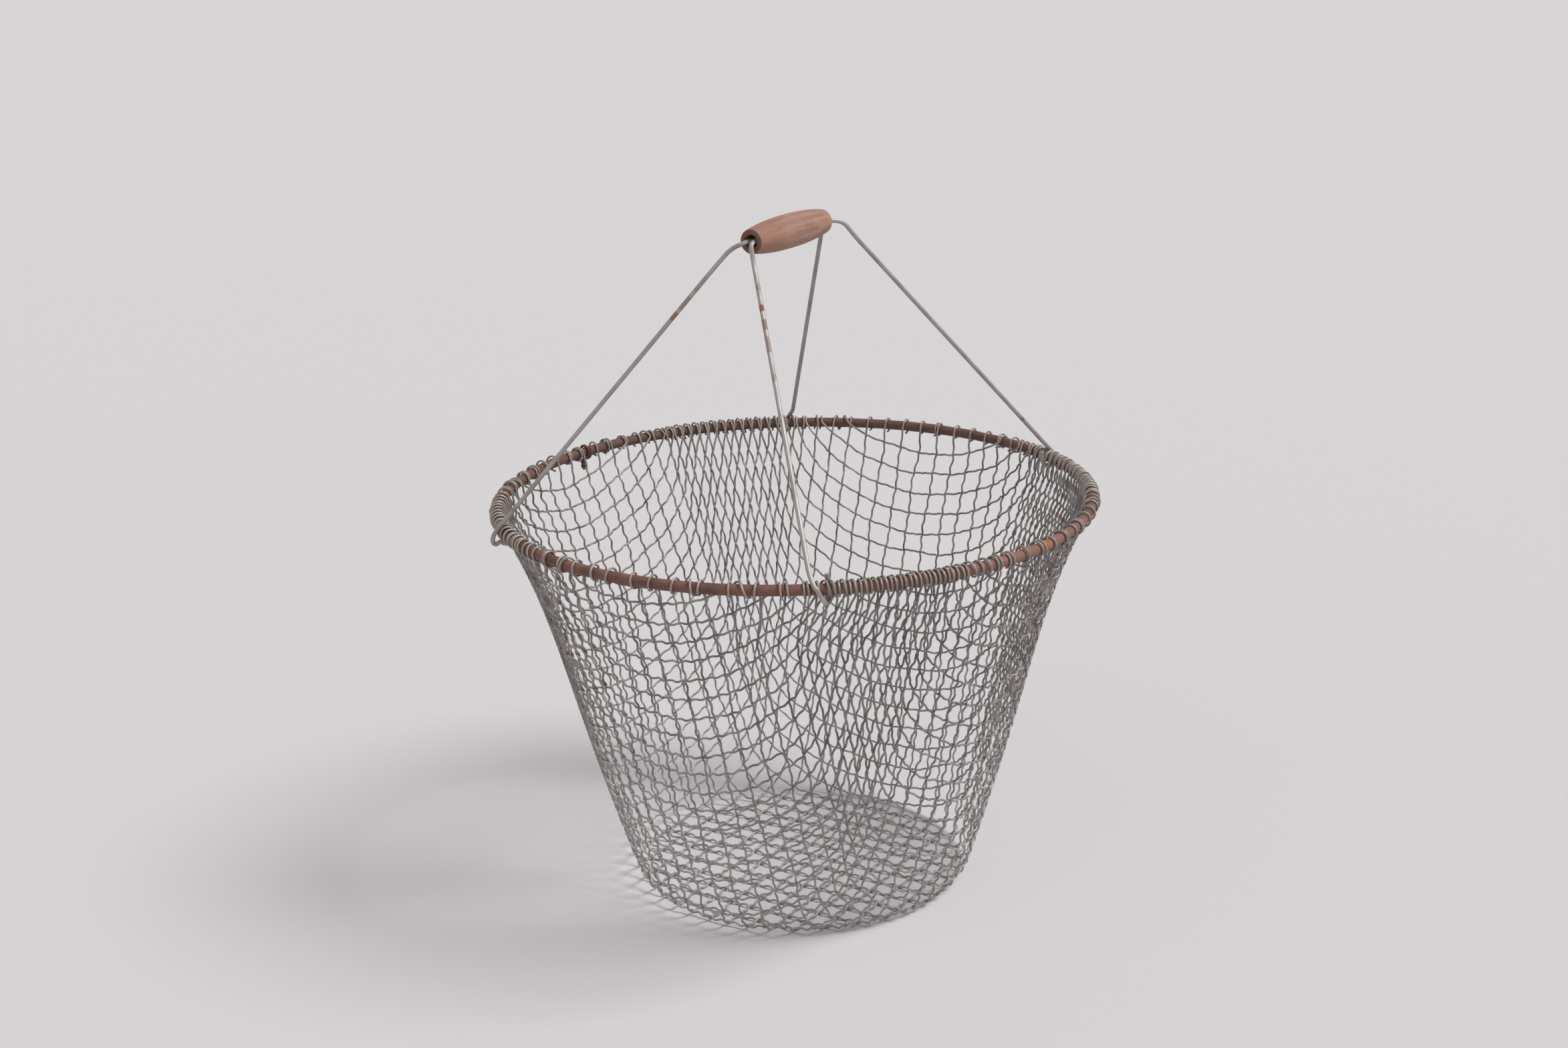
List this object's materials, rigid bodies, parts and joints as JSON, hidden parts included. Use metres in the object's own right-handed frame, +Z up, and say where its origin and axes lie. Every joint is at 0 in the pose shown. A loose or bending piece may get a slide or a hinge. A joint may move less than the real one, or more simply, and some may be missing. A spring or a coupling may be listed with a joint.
{
  "type": "wire mesh basket",
  "caption": "Tapered bucket of woven wire mesh on a round rod rim, with a carrying handle of two hooked wire bails that run through one turned wooden grip.",
  "frame": {"origin": "on the ground under the middle of the bottom", "axes": "+Z up, +X along the grip and the warp wires"},
  "size_m": [0.4654, 0.4654, 0.5242],
  "materials": {
    "galvanised_wire": "matte",
    "bail_wire": "matte",
    "rusty_iron": "matte",
    "grip_wood": "matte"
  },
  "bodies": {
    "basket": {"rim_hoop": "rusty_iron", "handle_bail_1": "bail_wire", "handle_bail_2": "bail_wire", "warp_pair_01": "galvanised_wire", "warp_pair_02": "galvanised_wire", "warp_pair_03": "galvanised_wire", "warp_pair_04": "galvanised_wire", "warp_pair_05": "galvanised_wire", "warp_pair_06": "galvanised_wire", "warp_pair_07": "galvanised_wire", "warp_pair_08": "galvanised_wire", "warp_pair_09": "galvanised_wire", "warp_pair_10": "galvanised_wire", "warp_pair_11": "galvanised_wire", "warp_pair_12": "galvanised_wire", "warp_pair_13": "galvanised_wire", "warp_pair_14": "galvanised_wire", "warp_pair_15": "galvanised_wire", "warp_pair_16": "galvanised_wire", "warp_pair_17": "galvanised_wire", "warp_pair_18": "galvanised_wire", "warp_pair_19": "galvanised_wire", "warp_pair_20": "galvanised_wire", "warp_pair_21": "galvanised_wire", "warp_pair_22": "galvanised_wire", "warp_pair_23": "galvanised_wire", "warp_pair_24": "galvanised_wire", "warp_pair_25": "galvanised_wire", "warp_pair_26": "galvanised_wire", "weft_pair_01": "galvanised_wire", "weft_pair_02": "galvanised_wire", "weft_pair_03": "galvanised_wire", "weft_pair_04": "galvanised_wire", "weft_pair_05": "galvanised_wire", "weft_pair_06": "galvanised_wire", "weft_pair_07": "galvanised_wire", "weft_pair_08": "galvanised_wire", "weft_pair_09": "galvanised_wire", "weft_pair_10": "galvanised_wire", "weft_pair_11": "galvanised_wire", "weft_pair_12": "galvanised_wire", "weft_pair_13": "galvanised_wire", "weft_pair_14": "galvanised_wire", "weft_pair_15": "galvanised_wire", "weft_pair_16": "galvanised_wire", "weft_pair_17": "galvanised_wire", "weft_pair_18": "galvanised_wire", "weft_pair_19": "galvanised_wire", "weft_pair_20": "galvanised_wire", "weft_pair_21": "galvanised_wire", "weft_pair_22": "galvanised_wire", "weft_pair_23": "galvanised_wire", "weft_pair_24": "galvanised_wire", "weft_pair_25": "galvanised_wire", "weft_pair_26": "galvanised_wire"},
    "grip": {"wooden_grip": "grip_wood"}
  },
  "joints": [
    {"name": "grip_spin", "type": "hinge", "parent": "basket", "child": "grip", "pos_m": [0, 0, 0.5115], "axis": [1, 0, 0], "continuous": true}
  ]
}
